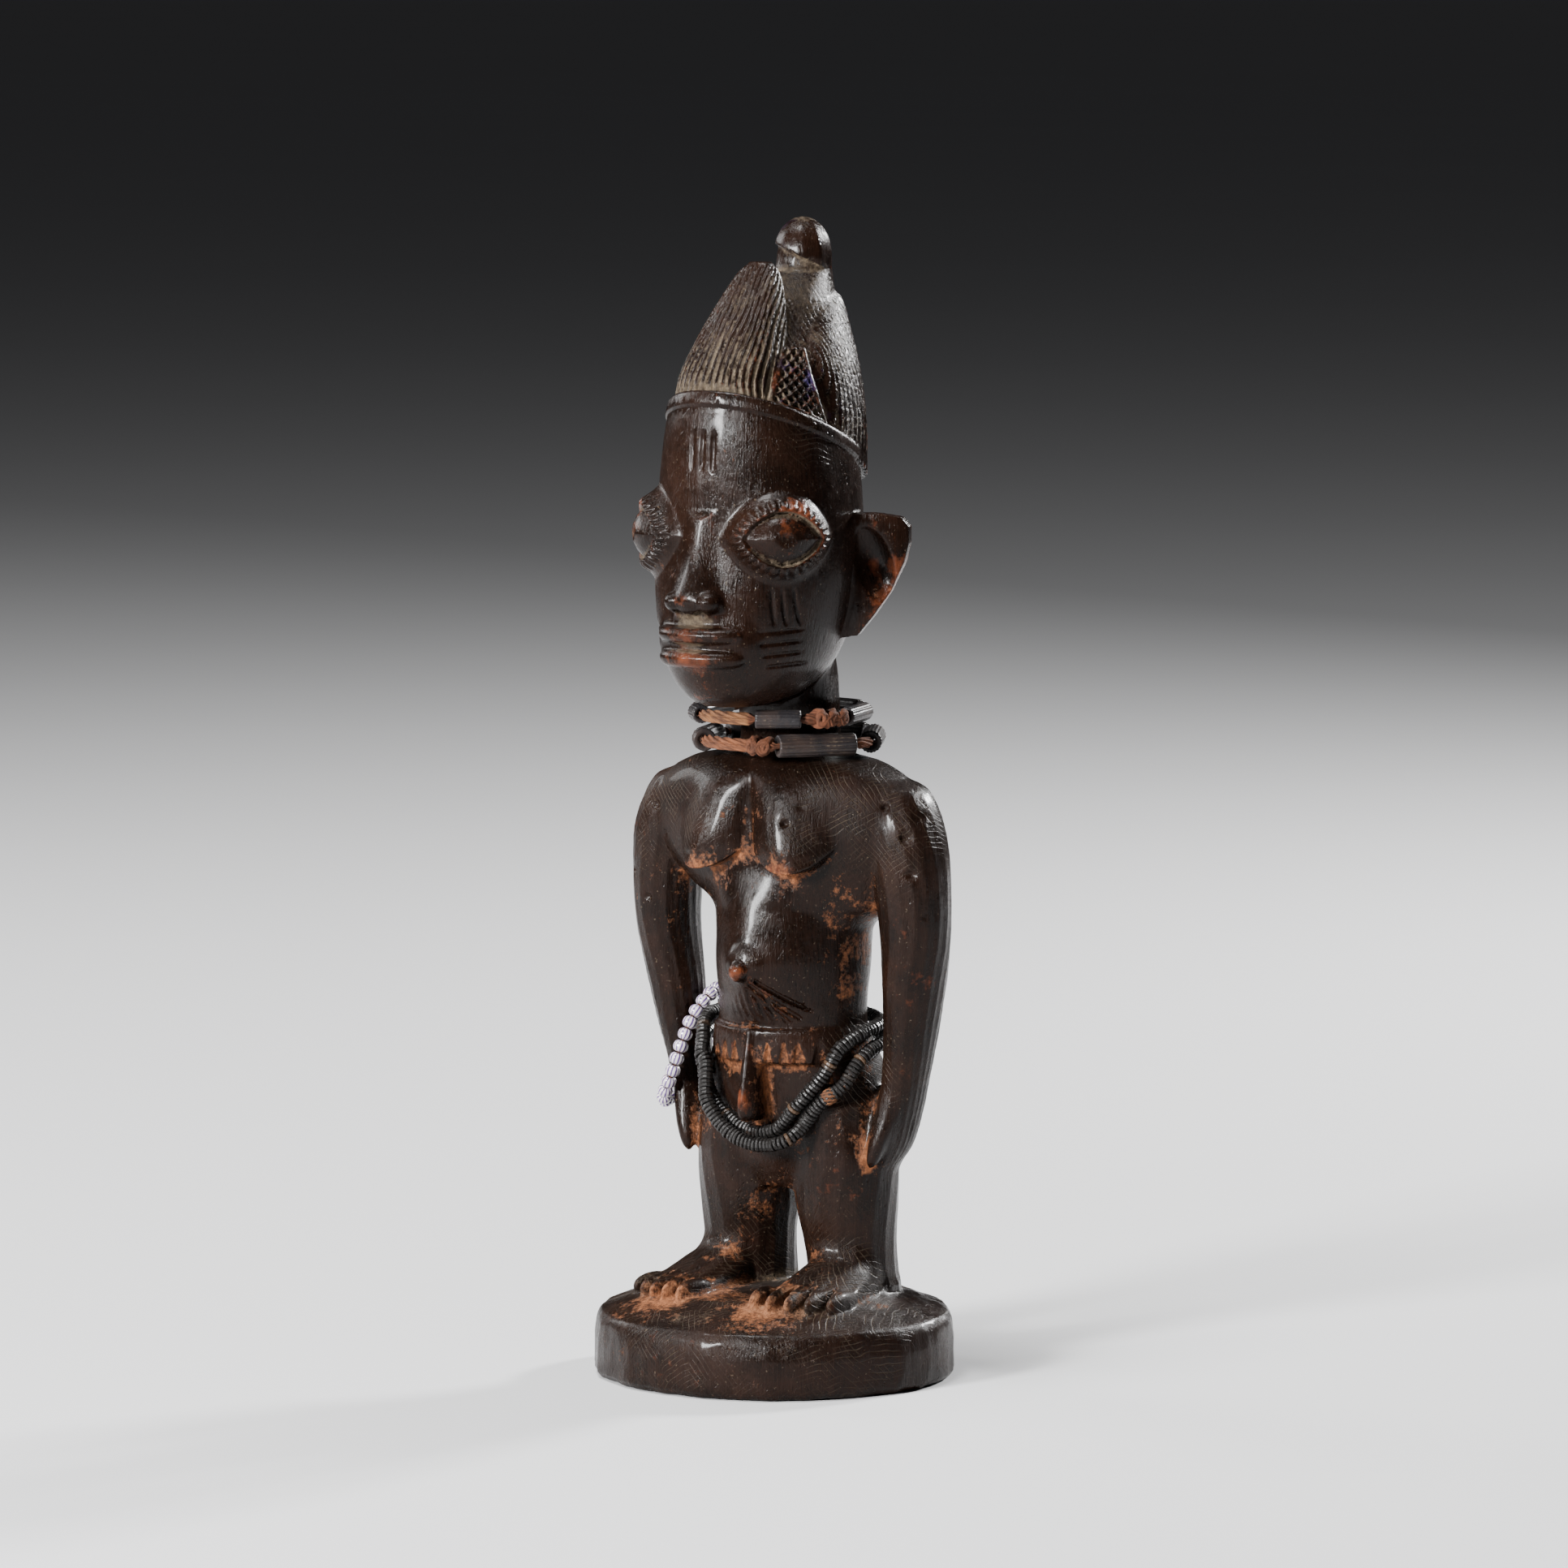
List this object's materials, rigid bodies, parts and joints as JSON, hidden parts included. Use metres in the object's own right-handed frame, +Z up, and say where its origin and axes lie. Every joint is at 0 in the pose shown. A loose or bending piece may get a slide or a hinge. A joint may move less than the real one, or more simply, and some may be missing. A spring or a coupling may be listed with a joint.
{
  "type": "ibeji figure",
  "caption": "Carved wooden standing twin figure on a round plinth, with tall ridged hair and strands of beads round its neck, hips and wrist.",
  "frame": {"origin": "centre of the plinth's underside", "axes": "+Z up along the figure; the figure faces -Y and its left hand is on +X"},
  "size_m": [0.09, 0.0872, 0.28],
  "materials": {
    "wood": "dark, worn, oiled patina",
    "cord": "brown plant fibre, dull",
    "tube_bead": "dark opaque glass, worn satin",
    "shell_bead": "black coconut-shell discs, polished by wear",
    "glass_bead": "white opaque glass with thin purple stripes"
  },
  "bodies": {
    "root": {"carved_figure": "wood", "neck_cord": "cord", "neck_tube_1": "tube_bead", "neck_tube_2": "tube_bead", "neck_tube_3": "tube_bead", "neck_tube_4": "tube_bead", "neck_tube_5": "tube_bead", "neck_tube_6": "tube_bead", "choker_cord": "cord", "choker_tube_1": "tube_bead", "choker_tube_2": "tube_bead", "choker_tube_3": "tube_bead", "choker_tube_4": "tube_bead", "choker_tube_5": "tube_bead", "choker_tube_6": "tube_bead", "hip_strand_inner": "shell_bead", "hip_strand_outer": "shell_bead", "wrist_cord": "cord", "wrist_bead_1": "glass_bead", "wrist_bead_2": "glass_bead", "wrist_bead_3": "glass_bead", "wrist_bead_4": "glass_bead", "wrist_bead_5": "glass_bead", "wrist_bead_6": "glass_bead", "wrist_bead_7": "glass_bead", "wrist_bead_8": "glass_bead", "wrist_bead_9": "glass_bead", "wrist_bead_10": "glass_bead", "wrist_bead_11": "glass_bead", "wrist_bead_12": "glass_bead", "wrist_bead_13": "glass_bead", "wrist_bead_14": "glass_bead", "wrist_bead_15": "glass_bead", "wrist_bead_16": "glass_bead", "wrist_bead_17": "glass_bead", "wrist_bead_18": "glass_bead", "wrist_bead_19": "glass_bead", "wrist_bead_20": "glass_bead", "wrist_bead_21": "glass_bead", "wrist_bead_22": "glass_bead", "wrist_bead_23": "glass_bead", "wrist_bead_24": "glass_bead", "wrist_bead_25": "glass_bead", "wrist_bead_26": "glass_bead"}
  },
  "joints": []
}
